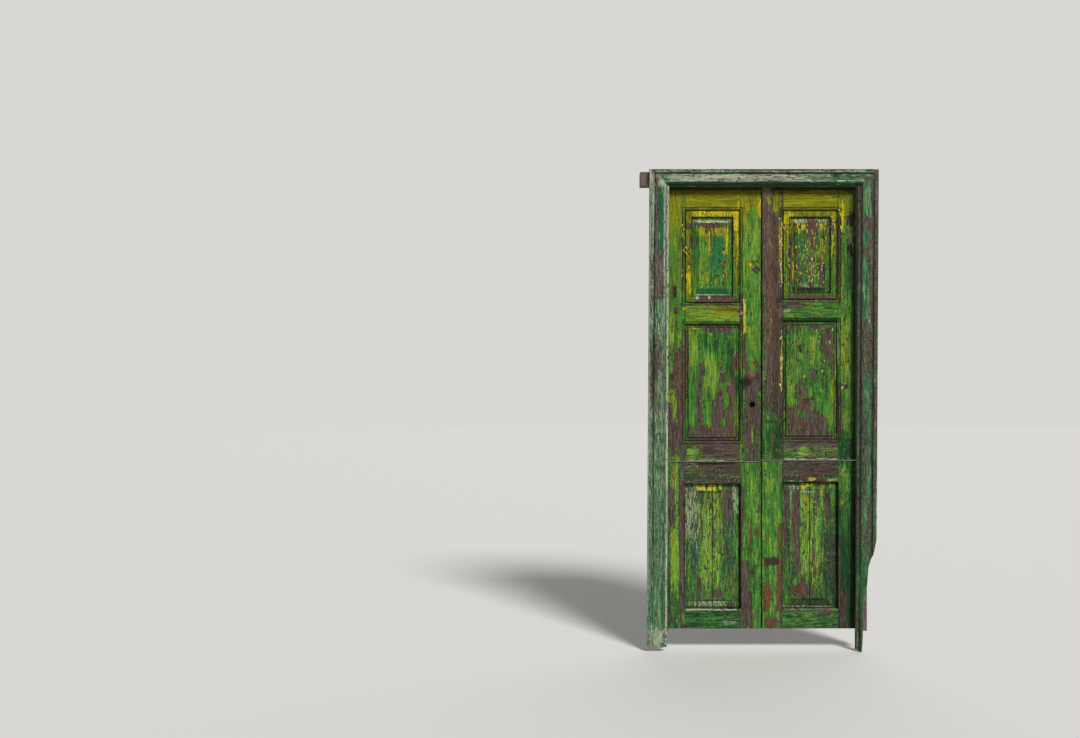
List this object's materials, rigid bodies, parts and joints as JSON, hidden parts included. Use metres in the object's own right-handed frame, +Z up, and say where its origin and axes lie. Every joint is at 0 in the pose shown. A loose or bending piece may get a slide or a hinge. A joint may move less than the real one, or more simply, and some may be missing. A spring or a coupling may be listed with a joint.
{
  "type": "panelled double door with frame",
  "caption": "Weathered panelled wooden door: a pair of leaves cut across at hip height, in a rebated frame with moulded casings, lock and bolts.",
  "frame": {"origin": "middle of the doorway at the threshold, in the plane of the wall's face, where the casings meet the frame", "axes": "+Z up, -Y towards the street, +X to the right seen from the street"},
  "size_m": [1.116, 0.1194, 2.269],
  "materials": {
    "upper_leaf_paint": "peeling yellow-green paint over bare wood",
    "lower_leaf_paint": "worn green paint over bare wood",
    "casing_paint": "weathered green paint",
    "frame_wood": "grey weathered wood",
    "bare_wood": "bare brown wood with cracks",
    "old_iron": "rusted iron"
  },
  "bodies": {
    "frame": {"casing_head": "casing_paint", "casing_left": "casing_paint", "casing_right": "casing_paint", "frame_head": "frame_wood", "hinge_pins_left": "old_iron", "hinge_pins_right": "old_iron", "post_hinge_plates_left": "old_iron", "post_hinge_plates_right": "old_iron", "post_left": "frame_wood", "post_right": "frame_wood", "top_bolt_keeper": "old_iron"},
    "upper_right_leaf": {"cover_strip": "bare_wood", "lock_keeper": "old_iron", "top_bolt_base": "old_iron", "upper_right_bottom_rail": "upper_leaf_paint", "upper_right_hinge_plates": "old_iron", "upper_right_hinge_stile": "upper_leaf_paint", "upper_right_large_panel": "upper_leaf_paint", "upper_right_link_bolt_base": "old_iron", "upper_right_lock_stile": "upper_leaf_paint", "upper_right_middle_rail": "upper_leaf_paint", "upper_right_panel_trim": "upper_leaf_paint", "upper_right_small_panel": "upper_leaf_paint", "upper_right_top_rail": "upper_leaf_paint"},
    "lower_right_leaf": {"foot_bolt_base": "old_iron", "lower_right_bottom_rail": "lower_leaf_paint", "lower_right_hinge_plates": "old_iron", "lower_right_hinge_stile": "lower_leaf_paint", "lower_right_link_staple": "old_iron", "lower_right_lock_stile": "lower_leaf_paint", "lower_right_panel_board_left": "lower_leaf_paint", "lower_right_panel_board_right": "lower_leaf_paint", "lower_right_top_rail": "lower_leaf_paint"},
    "foot_bolt_rod": {"foot_bolt_rod": "old_iron"},
    "upper_left_leaf": {"knob_nut": "old_iron", "lock_case": "old_iron", "pull_knob": "old_iron", "upper_left_bottom_rail": "upper_leaf_paint", "upper_left_hinge_plates": "old_iron", "upper_left_hinge_stile": "upper_leaf_paint", "upper_left_large_panel": "upper_leaf_paint", "upper_left_link_bolt_base": "old_iron", "upper_left_lock_stile": "upper_leaf_paint", "upper_left_middle_rail": "upper_leaf_paint", "upper_left_panel_trim": "upper_leaf_paint", "upper_left_small_panel": "upper_leaf_paint", "upper_left_top_rail": "upper_leaf_paint"},
    "link_bolt_rod_left": {"link_bolt_rod_left": "old_iron"},
    "link_bolt_rod_right": {"link_bolt_rod_right": "old_iron"},
    "lock_bolt": {"lock_bolt": "old_iron"},
    "lower_left_leaf": {"lower_left_bottom_rail": "lower_leaf_paint", "lower_left_hinge_plates": "old_iron", "lower_left_hinge_stile": "lower_leaf_paint", "lower_left_link_staple": "old_iron", "lower_left_lock_stile": "lower_leaf_paint", "lower_left_panel_board_left": "lower_leaf_paint", "lower_left_panel_board_right": "lower_leaf_paint", "lower_left_top_rail": "lower_leaf_paint"},
    "top_bolt_rod": {"top_bolt_rod": "old_iron"}
  },
  "joints": [
    {"name": "upper_left_hinge", "type": "hinge", "parent": "frame", "child": "upper_left_leaf", "pos_m": [-0.4615, 0.0649, 0.8], "axis": [0, 0, 1], "range_deg": [0, 95]},
    {"name": "upper_right_hinge", "type": "hinge", "parent": "frame", "child": "upper_right_leaf", "pos_m": [0.4615, 0.0649, 0.8], "axis": [0, 0, -1], "range_deg": [0, 95]},
    {"name": "lower_left_hinge", "type": "hinge", "parent": "frame", "child": "lower_left_leaf", "pos_m": [-0.4615, 0.0649, 0.8], "axis": [0, 0, 1], "range_deg": [0, 95]},
    {"name": "lower_right_hinge", "type": "hinge", "parent": "frame", "child": "lower_right_leaf", "pos_m": [0.4615, 0.0649, 0.8], "axis": [0, 0, -1], "range_deg": [0, 95]},
    {"name": "lock_bolt_slide", "type": "slide", "parent": "upper_left_leaf", "child": "lock_bolt", "axis": [1, 0, 0], "range_m": [0, 0.018]},
    {"name": "top_bolt_slide", "type": "slide", "parent": "upper_right_leaf", "child": "top_bolt_rod", "axis": [0, 0, 1], "range_m": [0, 0.04]},
    {"name": "link_bolt_slide_left", "type": "slide", "parent": "upper_left_leaf", "child": "link_bolt_rod_left", "axis": [0, 0, -1], "range_m": [0, 0.06]},
    {"name": "link_bolt_slide_right", "type": "slide", "parent": "upper_right_leaf", "child": "link_bolt_rod_right", "axis": [0, 0, -1], "range_m": [0, 0.06]},
    {"name": "foot_bolt_slide", "type": "slide", "parent": "lower_right_leaf", "child": "foot_bolt_rod", "axis": [0, 0, -1], "range_m": [0, 0.04]}
  ]
}
